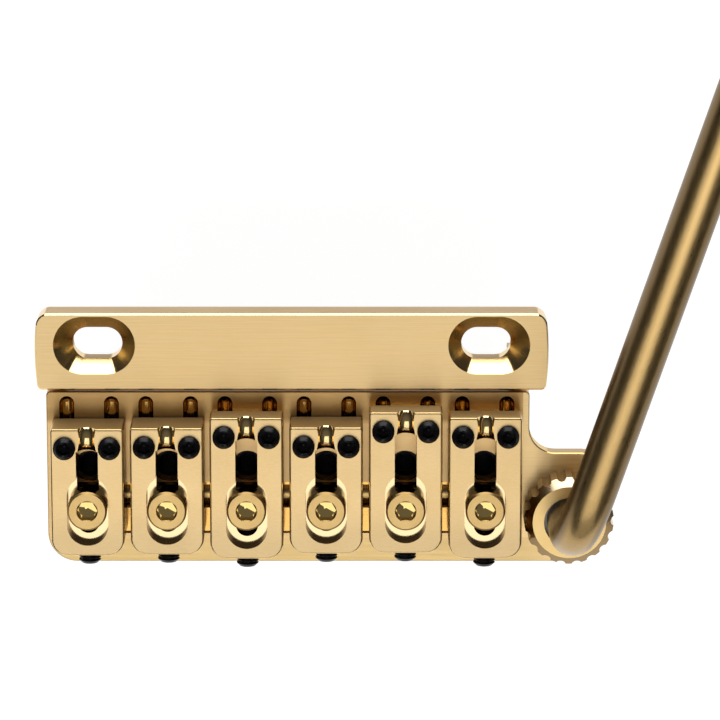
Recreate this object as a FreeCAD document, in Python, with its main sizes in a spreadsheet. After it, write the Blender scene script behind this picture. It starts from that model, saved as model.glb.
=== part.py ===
import FreeCAD, Part
import math
import os
import re
import Sketcher
from FreeCAD import Placement, Rotation, Vector

# Guitar tremolo bridge. X runs towards the treble side, Y towards the neck and Z up.
# The origin lies between the two mounting slots, on the underside of the front plate.
sizes = {
    # Fits and cutting
    "fit": 0.02,
    "running_fit": 0.03,
    "overrun": 1.0,
    # Fixed front plate
    "plate_end_margin": 2.05,
    "plate_end_bulge": 0.35,
    "plate_front": 4.45,
    "plate_rear": 6.2,
    "plate_thickness": 4.5,
    "plate_front_corner": 1.8,
    "plate_rear_corner": 0.7,
    "plate_edge_bevel": 0.2,
    "slot_inset": 8.45,
    "slot_length": 6.8,
    "slot_width": 4.4,
    "countersink_flare": 1.8,
    "countersink_run_out": 0.75,
    "lip_thickness": 0.7,
    "lip_overhang": 1.3,
    # Cheeks below the front plate
    "cheek_thickness": 1.8,
    "cheek_front": 2.6,
    "lug_radius": 4.6,
    "lug_clearance": 0.3,
    # Axle and its ball bearings
    "pivot_back": 9.5,
    "pivot_drop": 4.2,
    "axle_diameter": 4.0,
    "axle_margin": 0.15,
    "clip_thickness": 0.4,
    "clip_diameter": 7.0,
    "clip_groove_diameter": 3.2,
    "spacer_diameter": 5.2,
    "spacer_room": 0.5,
    "bearing_diameter": 8.0,
    "bearing_width": 3.0,
    "ring_wall": 0.65,
    "ball_diameter": 1.2,
    # Rocking base plate
    "base_margin": 5.85,
    "base_treble_margin": 6.15,
    "base_shift": 0.7,
    "base_gap": 0.4,
    "base_rear": 30.6,
    "base_top": 3.7,
    "base_thickness": 2.5,
    "base_rear_corner": 4.0,
    "base_front_corner": 0.6,
    "base_edge_bevel": 0.15,
    "ear_front": 15.25,
    "ear_rear_corner": 6.0,
    "ear_front_corner": 4.0,
    "ear_inner_corner": 3.6,
    "groove_width": 2.05,
    "groove_depth": 0.9,
    "groove_margin": 0.65,
    "groove_run": 6.55,
    "string_pitch": 10.8,
    "string_back": 17.1,
    "string_hole_diameter": 4.0,
    "string_hole_bevel": 0.2,
    "channel_front": 19.35,
    "channel_rear": 26.6,
    "channel_depth": 0.6,
    "channel_end": 4.0,
    "clamp_back": 21.5,
    "clamp_slot_width": 3.3,
    "clamp_bar_diameter": 4.0,
    "clamp_bar_end": 3.0,
    # Saddles
    "saddle_gap": 0.85,
    "saddle_thickness": 6.2,
    "saddle_lift": 0.4,
    "short_saddle_length": 17.7,
    "long_saddle_length": 19.7,
    "long_saddle_face": 4.1,
    "saddle_back": 28.0,
    "saddle_rear_corner": 2.2,
    "saddle_front_corner": 0.4,
    "saddle_edge_round": 0.3,
    "heel_length": 1.6,
    "counterbore_length": 9.7,
    "counterbore_width": 5.6,
    "counterbore_depth": 1.9,
    "counterbore_rear": 1.4,
    "string_slot_width": 3.0,
    "string_slot_front": 3.15,
    "string_groove_wall": 0.25,
    "crest_back": 1.5,
    "crest_depth": 0.5,
    "crest_radius": 2.0,
    # Set screws in the saddles
    "set_screw_diameter": 3.0,
    "set_screw_bevel": 0.4,
    "set_screw_socket": 1.5,
    "set_screw_socket_depth": 1.6,
    "height_screw_length": 8.2,
    "height_screw_inset": 1.925,
    "height_screw_back": 2.65,
    "height_screw_tip": 0.8,
    "intonation_screw_length": 6.0,
    "intonation_stickout": 2.05,
    "intonation_rise": 1.85,
    "intonation_screw_tip": 1.6,
    # Clamp screws
    "clamp_head_diameter": 5.4,
    "clamp_head_height": 3.0,
    "clamp_head_bevel": 0.25,
    "clamp_shank_diameter": 2.8,
    "clamp_socket": 2.5,
    "clamp_socket_depth": 1.7,
    "clamp_socket_bevel": 0.2,
    "clamp_socket_point": 0.3,
    # Sustain block
    "block_end": 2.9,
    "block_front": 12.4,
    "block_rear": 23.4,
    "block_head_rear": 25.4,
    "block_head_drop": 5.0,
    "block_drop": 35.0,
    "block_corner": 1.0,
    "boss_width": 6.0,
    "boss_radius": 4.55,
    "boss_bore_diameter": 6.0,
    "string_bore_diameter": 4.2,
    "string_feed_diameter": 2.8,
    "ball_seat_drop": 8.0,
    "hook_hole_diameter": 2.0,
    "hook_hole_depth": 5.0,
    "hook_hole_back": 21.8,
    "block_screw_diameter": 3.0,
    "block_screw_length": 20.0,
    "block_screw_bite": 1.8,
    "block_screw_head_diameter": 5.5,
    "block_screw_head_height": 3.0,
    # Arm, its sleeve and collar
    "arm_back": 23.6,
    "arm_diameter": 6.0,
    "arm_corner_height": 22.25,
    "arm_bend_radius": 10.3,
    "arm_length": 130.0,
    "arm_foot": 5.0,
    "arm_tip_flat": 0.2,
    "bush_wall": 0.47,
    "bush_rise": 4.2,
    "bush_foot": 5.5,
    "sleeve_wall": 0.58,
    "sleeve_rise": 3.7,
    "sleeve_foot": 6.0,
    "sleeve_flange_width": 1.4,
    "sleeve_flange_thickness": 1.2,
    "ring_nut_wall": 0.88,
    "ring_nut_height": 1.0,
    "collar_gap": 0.05,
    "collar_wall": 1.04,
    "collar_height": 5.6,
    "collar_arm_room": 0.9,
    "collar_room": 0.425,
    "collar_overhang": 0.3,
    "collar_bevel": 1.1,
    "flute_diameter": 1.4,
    "flute_depth": 0.45,
}

# Angles in degrees: how far the arm climbs, and how far it points to the right of the neck
angles = {"arm_rise": 10.0, "arm_turn": 17.4}

string_count = 6
ball_count = 7
flute_count = 18

# Where each saddle rests, as a share of its counterbore's length, and which saddles are long
saddle_rest_shares = [0.0, 0.015, -0.046, 0.026, 0.036, -0.041]
long_saddles = [False, False, True, False, True, True]

doc = FreeCAD.newDocument("TremoloBridge")
sheet = doc.addObject("Spreadsheet::Sheet", "Sizes")
for row, (alias, value) in enumerate({**sizes, **angles}.items(), start=1):
    sheet.set(f"A{row}", alias)
    sheet.set(f"B{row}", str(value))
    sheet.setAlias(f"B{row}", alias)
doc.recompute()

nodes = []


# Small helpers: every size reaches the model through an expression on the sheet
def formula(text):
    named = {**sizes, **angles}
    return re.sub(r"[a-z_]+", lambda m: f"Sizes.{m.group(0)}" if m.group(0) in named else m.group(0), text)


def bind(feature, prop, text):
    feature.setExpression(prop, formula(text))


def place(feature, at):
    for letter, text in zip("xyz", at):
        bind(feature, f"Placement.Base.{letter}", text)


def node(label, feature):
    feature.Label = label
    nodes.append(feature)
    return feature


along = {
    "x": Rotation(Vector(0, 1, 0), 90),
    "y": Rotation(Vector(1, 0, 0), -90),
    "z": Rotation(),
}


def box(name, x, y, z):
    feature = doc.addObject("Part::Box", name)
    for side, letter, (low, high) in zip(("Length", "Width", "Height"), "xyz", (x, y, z)):
        bind(feature, side, f"({high}) - ({low})")
        bind(feature, f"Placement.Base.{letter}", low)
    return feature


def rod(name, axis, diameter, at, length):
    feature = doc.addObject("Part::Cylinder", name)
    feature.Placement = Placement(Vector(), along[axis])
    bind(feature, "Radius", f"({diameter}) / 2")
    bind(feature, "Height", length)
    place(feature, at)
    return feature


def cone(name, axis, start_diameter, end_diameter, at, length):
    feature = doc.addObject("Part::Cone", name)
    feature.Placement = Placement(Vector(), along[axis])
    bind(feature, "Radius1", f"({start_diameter}) / 2")
    bind(feature, "Radius2", f"({end_diameter}) / 2")
    bind(feature, "Height", length)
    place(feature, at)
    return feature


def hexagon(name, axis, flats, at, length):
    feature = doc.addObject("Part::Prism", name)
    feature.Polygon = 6
    feature.Placement = Placement(Vector(), along[axis])
    bind(feature, "Circumradius", f"({flats}) / sqrt(3)")
    bind(feature, "Height", length)
    place(feature, at)
    return feature


def ring_torus(name, axis, radius, tube, at):
    feature = doc.addObject("Part::Torus", name)
    feature.Placement = Placement(Vector(), along[axis])
    bind(feature, "Radius1", radius)
    bind(feature, "Radius2", tube)
    place(feature, at)
    return feature


def ball(name, diameter, at):
    feature = doc.addObject("Part::Sphere", name)
    bind(feature, "Radius", f"({diameter}) / 2")
    place(feature, at)
    return feature


def join(name, pieces):
    feature = doc.addObject("Part::MultiFuse", name)
    feature.Shapes = pieces
    feature.Refine = True
    return feature


def cut(name, base, tool):
    feature = doc.addObject("Part::Cut", name)
    feature.Base = base
    feature.Tool = tool
    feature.Refine = True
    return feature


def overlap(name, base, tool):
    feature = doc.addObject("Part::Common", name)
    feature.Base = base
    feature.Tool = tool
    return feature


def group(name, pieces):
    feature = doc.addObject("Part::Compound", name)
    feature.Links = pieces
    return feature


def tube(name, axis, outer, inner, at, length):
    outside = rod(name + "_outer", axis, outer, at, length)
    inside = rod(name + "_inner", axis, inner, at, length)
    return cut(name, outside, inside)


def slot_along_y(name, x, y, z, width):
    low, high = y
    ends = (f"({low}) + ({width}) / 2", f"({high}) - ({width}) / 2")
    height = f"({z[1]}) - ({z[0]})"
    middle = box(name + "_middle", (f"({x}) - ({width}) / 2", f"({x}) + ({width}) / 2"), ends, z)
    caps = [rod(f"{name}_cap{i}", "z", width, (x, end, z[0]), height) for i, end in enumerate(ends)]
    return join(name, [middle] + caps)


def sketch_on(body, name, role):
    sketch = body.newObject("Sketcher::SketchObject", name)
    plane = next(feature for feature in body.Origin.OriginFeatures if feature.Role == role)
    sketch.AttachmentSupport = [(plane, "")]
    sketch.MapMode = "FlatFace"
    return sketch


def pin(sketch, geometry, point, x, y):
    here = sketch.getPoint(geometry, point)
    for kind, start, text in (("DistanceX", here.x, x), ("DistanceY", here.y, y)):
        constraint = sketch.addConstraint(Sketcher.Constraint(kind, -1, 1, geometry, point, start))
        bind(sketch, f"Constraints[{constraint}]", text)


def limit(sketch, kind, curve, start, text):
    constraint = sketch.addConstraint(Sketcher.Constraint(kind, curve, start))
    bind(sketch, f"Constraints[{constraint}]", text)


def polygon(body, name, role, corners):
    # The corners start on a unit circle, and the solver draws them out to their pinned places
    sketch = sketch_on(body, name, role)
    count = len(corners)
    turns = [2 * math.pi * i / count for i in range(count)]
    starts = [Vector(math.cos(turn), math.sin(turn), 0) for turn in turns]
    for i in range(count):
        sketch.addGeometry(Part.LineSegment(starts[i], starts[(i + 1) % count]))
    for i in range(count):
        sketch.addConstraint(Sketcher.Constraint("Coincident", i, 2, (i + 1) % count, 1))
    for i, (x, y) in enumerate(corners):
        pin(sketch, i, 1, x, y)
    return sketch


def pad(body, name, sketch, start, length):
    bind(sketch, "AttachmentOffset.Base.z", start)
    feature = body.newObject("PartDesign::Pad", name)
    feature.Profile = sketch
    bind(feature, "Length", length)
    doc.recompute()
    return feature


def edges_where(feature, wanted):
    return [f"Edge{i}" for i, edge in enumerate(feature.Shape.Edges, start=1) if wanted(edge)]


def dress(kind, prop, body, name, feature, size, wanted):
    dressed = body.newObject(f"PartDesign::{kind}", name)
    dressed.Base = (feature, edges_where(feature, wanted))
    bind(dressed, prop, size)
    doc.recompute()
    return dressed


def round_edges(body, name, feature, radius, wanted):
    return dress("Fillet", "Radius", body, name, feature, radius, wanted)


def bevel_edges(body, name, feature, size, wanted):
    return dress("Chamfer", "Size", body, name, feature, size, wanted)


def is_upright(edge):
    span = edge.BoundBox
    return span.ZLength > 100 * max(span.XLength, span.YLength)


def is_top_edge(feature):
    top = feature.Shape.BoundBox.ZMax
    slack = feature.Shape.BoundBox.ZLength / 1000
    return lambda edge: edge.BoundBox.ZMin > top - slack


# Places that several pieces share
pivot = ("-pivot_back", "-pivot_drop")
base_middle = "-base_shift"
base_front = "-(plate_rear + base_gap)"
base_bottom = "(base_top - base_thickness)"
saddle_bottom = "(base_top + saddle_lift)"
saddle_top = "(base_top + saddle_lift + saddle_thickness)"
ledge = "(base_top + saddle_lift + saddle_thickness - counterbore_depth)"
bar_drop = "(fit + sqrt(clamp_bar_diameter^2 - clamp_slot_width^2) / 2)"
bar_height = f"({base_bottom} - {bar_drop})"
string_lines = [f"({base_middle} + string_pitch * {i - (string_count - 1) / 2})" for i in range(string_count)]
hook_lines = [f"({base_middle} + string_pitch * {i - string_count / 2 + 1})" for i in range(string_count - 1)]
block_screw_lines = hook_lines[::2]

# Half widths, each from the one inside it: strings, block, cheeks, axle and front plate
outer_string = f"string_pitch * {(string_count - 1) / 2}"
block_half = f"({outer_string} + block_end)"
cheek_inside = f"({block_half} + spacer_room)"
cheek_outside = f"({cheek_inside} + cheek_thickness)"
axle_half = f"({cheek_outside} + clip_thickness + 3 * fit + axle_margin)"
plate_half = f"({cheek_outside} + base_shift + plate_end_margin)"
slot_across = f"({plate_half} - slot_inset)"
saddle_half = "((string_pitch - saddle_gap) / 2)"
height_screw_across = f"({saddle_half} - height_screw_inset)"
groove_half = f"({height_screw_across} - set_screw_diameter / 2 - string_groove_wall)"


# Front plate: a milled bar with bowed ends and two countersunk slots
plate_body = doc.addObject("PartDesign::Body", "plate_body")
outline = sketch_on(plate_body, "plate_outline", "XY_Plane")
half_strings = sizes["string_pitch"] * (string_count - 1) / 2
chain = ("block_end", "spacer_room", "cheek_thickness", "base_shift", "plate_end_margin")
tip = half_strings + sum(sizes[link] for link in chain)
half = tip - sizes["plate_end_bulge"]
front = sizes["plate_front"]
rear = -sizes["plate_rear"]
middle = (front + rear) / 2
outline.addGeometry(Part.LineSegment(Vector(-half, rear), Vector(half, rear)))
outline.addGeometry(Part.Arc(Vector(half, rear), Vector(tip, middle), Vector(half, front)))
outline.addGeometry(Part.LineSegment(Vector(half, front), Vector(-half, front)))
outline.addGeometry(Part.Arc(Vector(-half, front), Vector(-tip, middle), Vector(-half, rear)))
for i in range(4):
    outline.addConstraint(Sketcher.Constraint("Coincident", i, 2, (i + 1) % 4, 1))
half_width = f"({plate_half} - plate_end_bulge)"
pin(outline, 0, 1, f"-{half_width}", "-plate_rear")
pin(outline, 0, 2, half_width, "-plate_rear")
pin(outline, 2, 1, half_width, "plate_front")
pin(outline, 2, 2, f"-{half_width}", "plate_front")
bow = "((plate_front + plate_rear)^2 / 4 + plate_end_bulge^2) / (2 * plate_end_bulge)"
bow_radius = ((front - rear) ** 2 / 4 + sizes["plate_end_bulge"] ** 2) / (2 * sizes["plate_end_bulge"])
for arc in (1, 3):
    limit(outline, "Radius", arc, bow_radius, bow)
plate = pad(plate_body, "plate_pad", outline, "0", "plate_thickness")
plate = round_edges(
    plate_body, "plate_front_corners", plate, "plate_front_corner",
    lambda edge: is_upright(edge) and edge.CenterOfMass.y > middle,
)
plate = round_edges(
    plate_body, "plate_rear_corners", plate, "plate_rear_corner",
    lambda edge: is_upright(edge) and edge.CenterOfMass.y < rear + sizes["plate_rear_corner"] / 2,
)
plate = bevel_edges(plate_body, "plate_top_bevel", plate, "plate_edge_bevel", is_top_edge(plate))


# Two slots go right through the plate
slots = sketch_on(plate_body, "slot_outlines", "XY_Plane")
bind(slots, "AttachmentOffset.Base.z", "plate_thickness")
slot_radius = sizes["slot_width"] / 2
slot_reach = sizes["slot_length"] / 2 - slot_radius
half_run = "(slot_length - slot_width) / 2"
for side in (-1, 1):
    centre = side * (tip - sizes["slot_inset"])
    left = Vector(centre - slot_reach, 0)
    right = Vector(centre + slot_reach, 0)
    rise = Vector(0, slot_radius)
    first = slots.GeometryCount
    upright = Vector(0, 0, 1)
    slots.addGeometry(Part.ArcOfCircle(Part.Circle(right, upright, slot_radius), -math.pi / 2, math.pi / 2))
    slots.addGeometry(Part.LineSegment(right + rise, left + rise))
    slots.addGeometry(Part.ArcOfCircle(Part.Circle(left, upright, slot_radius), math.pi / 2, 3 * math.pi / 2))
    slots.addGeometry(Part.LineSegment(left - rise, right - rise))
    for i in range(4):
        slots.addConstraint(Sketcher.Constraint("Tangent", first + i, 2, first + (i + 1) % 4, 1))
    pin(slots, first, 3, f"{side} * {slot_across} + {half_run}", "0")
    pin(slots, first + 2, 3, f"{side} * {slot_across} - {half_run}", "0")
    limit(slots, "Radius", first, slot_radius, "slot_width / 2")
pocket = plate_body.newObject("PartDesign::Pocket", "slot_pockets")
pocket.Profile = slots
bind(pocket, "Length", "plate_thickness")
doc.recompute()
plate_body.Tip = pocket

# Each slot is countersunk for its screw's head, and the countersink runs on towards the plate's end
countersinks = []
floor_half = "(slot_width / 2 - countersink_run_out) / 2"
sink_depth = f"(countersink_flare + slot_width / 2 - {floor_half})"
sink_floor = f"(plate_thickness - {sink_depth})"
rim_half = "(slot_width / 2 + countersink_flare + overrun)"
for side, name in ((-1, "bass"), (1, "treble")):
    inner = f"{side} * ({slot_across} - {half_run})"
    outer = f"{side} * ({slot_across} + {half_run} + countersink_run_out)"
    left, right = (inner, outer) if side > 0 else (outer, inner)
    trough_body = doc.addObject("PartDesign::Body", f"trough_body_{name}")
    trough_outline = polygon(trough_body, f"trough_outline_{name}", "YZ_Plane", [
        (f"-{floor_half}", sink_floor), (floor_half, sink_floor),
        (rim_half, "plate_thickness + overrun"), (f"-{rim_half}", "plate_thickness + overrun"),
    ])
    pad(trough_body, f"trough_pad_{name}", trough_outline, left, f"{right} - ({left})")
    ends = [
        cone(f"sink_{name}_{i}", "z", f"2 * {floor_half}", f"2 * {rim_half}", (x, "0", sink_floor),
             f"{sink_depth} + overrun")
        for i, x in enumerate((left, right))
    ]
    countersinks.append(join(f"countersink_{name}", [trough_body] + ends))

# Behind the slots the plate is undercut to a lip, under which the base plate can dip
lip_gap = box(
    "lip_undercut",
    (f"-2 * {plate_half}", f"2 * {plate_half}"),
    ("-plate_rear - overrun", "-plate_rear + lip_overhang"),
    ("-overrun", "plate_thickness - lip_thickness"),
)
plate_cut = cut("plate_undercut", plate_body, group("plate_tools", [lip_gap] + countersinks))

# Two cheeks hang from the plate and carry the axle
cheeks = []
for side, name in ((-1, "bass"), (1, "treble")):
    x = f"{base_middle} + {side} * ({cheek_inside} + cheek_thickness / 2)"
    span = (f"{x} - cheek_thickness / 2", f"{x} + cheek_thickness / 2")
    web = box(
        f"cheek_web_{name}", span, (pivot[0], "-cheek_front"), ("-pivot_drop - lug_radius", "-lug_clearance"),
    )
    root = box(
        f"cheek_root_{name}", span, ("-plate_rear + lip_overhang", "-cheek_front"),
        ("-lug_clearance", "plate_thickness - lip_thickness - countersink_flare"),
    )
    lug = rod(f"cheek_lug_{name}", "x", "2 * lug_radius", (span[0], *pivot), "cheek_thickness")
    cheeks += [web, root, lug]
framed = join("plate_with_cheeks", [plate_cut] + cheeks)
axle_hole = rod(
    "axle_hole", "x", "axle_diameter + 2 * fit", (f"{base_middle} - {cheek_outside} - overrun", *pivot),
    f"2 * {cheek_outside} + 2 * overrun",
)
node("mounting_plate", cut("framed_plate", framed, axle_hole))


# Axle with a snap ring in a groove at each end
axle_rod = rod(
    "axle_rod", "x", "axle_diameter", (f"{base_middle} - {axle_half}", *pivot), f"2 * {axle_half}",
)
grooves = []
clips = []
spacers = []
inner_rings = []
outer_rings = []
balls = []
ball_circle = "(axle_diameter / 4 + bearing_diameter / 4)"
race = "(ball_diameter / 2 + running_fit)"
for side, name in ((-1, "bass"), (1, "treble")):
    clip_foot = f"{base_middle} + {side} * ({cheek_outside} + 2 * fit)"
    clip_x = clip_foot if side > 0 else f"{clip_foot} - clip_thickness"
    groove_x = f"{clip_x} - fit"
    grooves.append(tube(
        f"clip_groove_{name}", "x", "axle_diameter + overrun", "clip_groove_diameter", (groove_x, *pivot),
        "clip_thickness + 2 * fit",
    ))
    clips.append(tube(
        f"clip_{name}", "x", "clip_diameter", "clip_groove_diameter + 2 * fit", (clip_x, *pivot),
        "clip_thickness",
    ))
    spacer_length = "(spacer_room - 2 * fit)"
    spacer_foot = f"{base_middle} + {side} * ({block_half} + fit)"
    spacer_x = spacer_foot if side > 0 else f"{spacer_foot} - {spacer_length}"
    spacers.append(tube(
        f"spacer_{name}", "x", "spacer_diameter", "axle_diameter + 2 * fit", (spacer_x, *pivot),
        spacer_length,
    ))
    block_side = f"{base_middle} + {side} * {block_half}"
    bearing_x = f"{block_side} - bearing_width" if side > 0 else block_side
    bearing_middle = f"({bearing_x} + bearing_width / 2)"
    track = ring_torus(f"race_{name}", "x", ball_circle, race, (bearing_middle, *pivot))
    inner = tube(
        f"inner_blank_{name}", "x", "axle_diameter + 2 * ring_wall", "axle_diameter + 2 * fit",
        (bearing_x, *pivot), "bearing_width",
    )
    outer = tube(
        f"outer_blank_{name}", "x", "bearing_diameter", "bearing_diameter - 2 * ring_wall",
        (bearing_x, *pivot), "bearing_width",
    )
    inner_rings.append(cut(f"inner_ring_{name}", inner, track))
    outer_rings.append(cut(f"outer_ring_{name}", outer, track))
    for i in range(ball_count):
        turn = 2 * math.pi * i / ball_count
        balls.append(ball(f"ball_{name}_{i}", "ball_diameter", (
            bearing_middle,
            f"{pivot[0]} + {ball_circle} * {math.cos(turn):.6f}",
            f"{pivot[1]} + {ball_circle} * {math.sin(turn):.6f}",
        )))
node("pivot_axle", cut("grooved_axle", axle_rod, group("clip_grooves", grooves)))
node("axle_clips", group("clip_pair", clips))
node("axle_spacers", group("spacer_pair", spacers))
node("bearing_inner_rings", group("inner_ring_pair", inner_rings))
node("bearing_outer_rings", group("outer_ring_pair", outer_rings))
node("bearing_balls", group("ball_sets", balls))


# Base plate with the ear that carries the arm
base_body = doc.addObject("PartDesign::Body", "base_body")
base_left = f"({base_middle} - {outer_string} - base_margin)"
base_right = f"({base_middle} + {outer_string} + base_treble_margin)"
bush_outside = "(arm_diameter + 2 * running_fit + 2 * bush_wall)"
sleeve_outside = f"({bush_outside} + 2 * fit + 2 * sleeve_wall)"
ring_nut_outside = f"({sleeve_outside} + 2 * fit + 2 * ring_nut_wall)"
collar_outside = f"({ring_nut_outside} + 4 * running_fit + 2 * collar_wall)"
arm_line = (f"({string_lines[-1]} + {saddle_half} + collar_room + {collar_outside} / 2)", "-arm_back")
ear_end = f"({arm_line[0]} + {collar_outside} / 2 - collar_overhang)"
base_outline = polygon(base_body, "base_outline", "XY_Plane", [
    (base_left, base_front),
    (base_left, "-base_rear"),
    (ear_end, "-base_rear"),
    (ear_end, "-ear_front"),
    (base_right, "-ear_front"),
    (base_right, base_front),
])
base = pad(base_body, "base_pad", base_outline, base_bottom, "base_thickness")
ear_middle = -(sizes["base_rear"] + sizes["ear_front"]) / 2
right_edge = half_strings + sizes["base_treble_margin"] - sizes["base_shift"]
ear_edge = right_edge + sizes["ear_rear_corner"] / 2
corner_rules = {
    "base_rear_corner": lambda x, y: x < 0 and y < ear_middle,
    "ear_rear_corner": lambda x, y: x > ear_edge and y < ear_middle,
    "ear_front_corner": lambda x, y: x > ear_edge and y > ear_middle,
    "ear_inner_corner": lambda x, y: 0 < x < ear_edge and ear_middle < y < -sizes["block_front"],
    "base_front_corner": lambda x, y: abs(x) < ear_edge and y > -sizes["pivot_back"],
}
for corner, rule in corner_rules.items():
    base = round_edges(
        base_body, f"{corner}_round", base, corner,
        lambda edge: is_upright(edge) and edge.Curve.TypeId == "Part::GeomLine"
        and edge.Length > sizes["base_thickness"] / 2 and rule(edge.CenterOfMass.x, edge.CenterOfMass.y),
    )
base = bevel_edges(base_body, "base_top_bevel", base, "base_edge_bevel", is_top_edge(base))
base_body.Tip = base

# The grooves are cut by a ball nosed cutter, as deep and as wide as they are named
base_tools = []
cutter_diameter = "(groove_depth + groove_width * groove_width / groove_depth / 4)"
cutter_z = f"(base_top - groove_depth + {cutter_diameter} / 2)"
above_base = "base_top + overrun"
below_base = f"{base_bottom} - overrun"
for i, line in enumerate(string_lines):
    for j, side in enumerate((-1, 1)):
        groove_x = f"{line} + {side} * {height_screw_across}"
        groove_tip = f"({base_front} - groove_margin - groove_width / 2)"
        groove_start = (groove_x, f"{groove_tip} - groove_run", cutter_z)
        base_tools.append(join(f"tip_groove_{i}_{j}", [
            rod(f"groove_floor_{i}_{j}", "y", cutter_diameter, groove_start, "groove_run"),
            ball(f"groove_front_{i}_{j}", cutter_diameter, (groove_x, groove_tip, cutter_z)),
            ball(f"groove_rear_{i}_{j}", cutter_diameter, groove_start),
        ]))
    hole = rod(
        f"string_hole_{i}", "z", "string_hole_diameter", (line, "-string_back", below_base),
        "base_thickness + 2 * overrun",
    )
    rim = cone(
        f"string_rim_{i}", "z", "string_hole_diameter", "string_hole_diameter + 2 * string_hole_bevel",
        (line, "-string_back", "base_top - string_hole_bevel"), "string_hole_bevel",
    )
    base_tools.append(join(f"string_hole_tool_{i}", [hole, rim]))
channel = box(
    "channel_tool",
    (f"{base_middle} - {outer_string} - channel_end", f"{base_middle} + {outer_string} + channel_end"),
    ("-channel_rear", "-channel_front"), ("base_top - channel_depth", above_base),
)
bar_half = f"({outer_string} + clamp_bar_end)"
clamp_slot = box(
    "clamp_slot_tool", (f"{base_middle} - {bar_half}", f"{base_middle} + {bar_half}"),
    ("-clamp_back - clamp_slot_width / 2", "-clamp_back + clamp_slot_width / 2"), (below_base, above_base),
)
base_tools.append(join("channel_and_slot", [channel, clamp_slot]))
base_tools.append(rod(
    "ear_hole", "z", f"{sleeve_outside} + 2 * fit", (*arm_line, below_base),
    "base_thickness + 2 * overrun",
))
for i, line in enumerate(block_screw_lines):
    base_tools.append(rod(
        f"block_screw_socket_{i}", "z", "block_screw_diameter + 2 * fit", (line, "-string_back", below_base),
        "overrun + block_screw_bite + fit",
    ))
node("base_plate", cut("base_cut", base_body, group("base_tools", base_tools)))


# Sustain block: an L in section, with a bearing boss at each end
block_body = doc.addObject("PartDesign::Body", "block_body")
block_outline = polygon(block_body, "block_outline", "YZ_Plane", [
    ("-block_front", "-block_drop"),
    ("-block_front", base_bottom),
    ("-block_head_rear", base_bottom),
    ("-block_head_rear", "-block_head_drop"),
    ("-block_rear", "-block_head_drop"),
    ("-block_rear", "-block_drop"),
])
block = pad(block_body, "block_pad", block_outline, f"{base_middle} - {block_half}", f"2 * {block_half}")
block_floor = sizes["overrun"] - sizes["block_drop"]
block = round_edges(
    block_body, "block_rounding", block, "block_corner",
    lambda edge: is_upright(edge) or edge.BoundBox.ZMax < block_floor,
)
block_body.Tip = block
bosses = []
block_tools = []
for side, name in ((-1, "bass"), (1, "treble")):
    block_side = f"{base_middle} + {side} * {block_half}"
    boss_x = f"{block_side} - boss_width" if side > 0 else block_side
    bearing_x = f"{block_side} - bearing_width" if side > 0 else f"{block_side} - overrun"
    bosses.append(rod(f"boss_{name}", "x", "2 * boss_radius", (boss_x, *pivot), "boss_width"))
    bosses.append(box(
        f"boss_web_{name}", (boss_x, f"{boss_x} + boss_width"), ("-block_front - block_corner", pivot[0]),
        ("-pivot_drop - boss_radius", "-pivot_drop + boss_radius"),
    ))
    seat = rod(
        f"bearing_seat_{name}", "x", "bearing_diameter + 2 * fit", (bearing_x, *pivot),
        "bearing_width + overrun",
    )
    bore = rod(
        f"boss_bore_{name}", "x", "boss_bore_diameter", (f"{boss_x} - overrun", *pivot),
        "boss_width + 2 * overrun",
    )
    block_tools.append(join(f"bearing_tool_{name}", [seat, bore]))
block_joined = join("block_with_bosses", [block_body] + bosses)
bar_groove = box(
    "bar_groove", (f"-2 * {block_half}", f"2 * {block_half}"),
    ("-clamp_back - clamp_bar_diameter / 2 - fit", "-clamp_back + clamp_bar_diameter / 2 + fit"),
    (f"{bar_height} - clamp_bar_diameter / 2 - fit", f"{base_bottom} + overrun"),
)
block_tools.append(bar_groove)
for i, line in enumerate(string_lines):
    feed = rod(
        f"string_feed_{i}", "z", "string_feed_diameter", (line, "-string_back", "-block_drop - overrun"),
        f"block_drop + {base_bottom} + 2 * overrun",
    )
    bore = rod(
        f"string_bore_{i}", "z", "string_bore_diameter", (line, "-string_back", "-block_drop - overrun"),
        "block_drop - ball_seat_drop + overrun",
    )
    block_tools.append(join(f"string_bore_tool_{i}", [feed, bore]))
screw_head_top = f"({base_bottom} + block_screw_bite - block_screw_length)"
for i, line in enumerate(block_screw_lines):
    clear = rod(
        f"block_screw_clear_{i}", "z", "block_screw_diameter + 2 * fit",
        (line, "-string_back", "-block_drop"),
        f"block_drop + {base_bottom} + overrun",
    )
    sink = rod(
        f"block_screw_sink_{i}", "z", "block_screw_head_diameter + 2 * fit",
        (line, "-string_back", "-block_drop - overrun"), f"block_drop + overrun + {screw_head_top}",
    )
    block_tools.append(join(f"block_screw_tool_{i}", [clear, sink]))
for i, line in enumerate(hook_lines):
    block_tools.append(rod(
        f"hook_hole_{i}", "z", "hook_hole_diameter", (line, "-hook_hole_back", "-block_drop - overrun"),
        "hook_hole_depth + overrun",
    ))
node("sustain_block", cut("block_cut", block_joined, group("block_tools", block_tools)))

# Three cap screws pull the block up against the base plate
block_screws = []
for i, line in enumerate(block_screw_lines):
    shank = rod(
        f"block_shank_{i}", "z", "block_screw_diameter", (line, "-string_back", f"{screw_head_top} - fit"),
        "block_screw_length + fit",
    )
    head = rod(
        f"block_head_{i}", "z", "block_screw_head_diameter",
        (line, "-string_back", f"{screw_head_top} - fit - block_screw_head_height"),
        "block_screw_head_height",
    )
    socket = hexagon(
        f"block_socket_{i}", "z", "clamp_socket",
        (line, "-string_back", f"{screw_head_top} - fit - block_screw_head_height"), "clamp_socket_depth",
    )
    block_screws.append(cut(f"block_screw_{i}", join(f"block_screw_blank_{i}", [shank, head]), socket))
node("block_screws", group("block_screw_set", block_screws))


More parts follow.
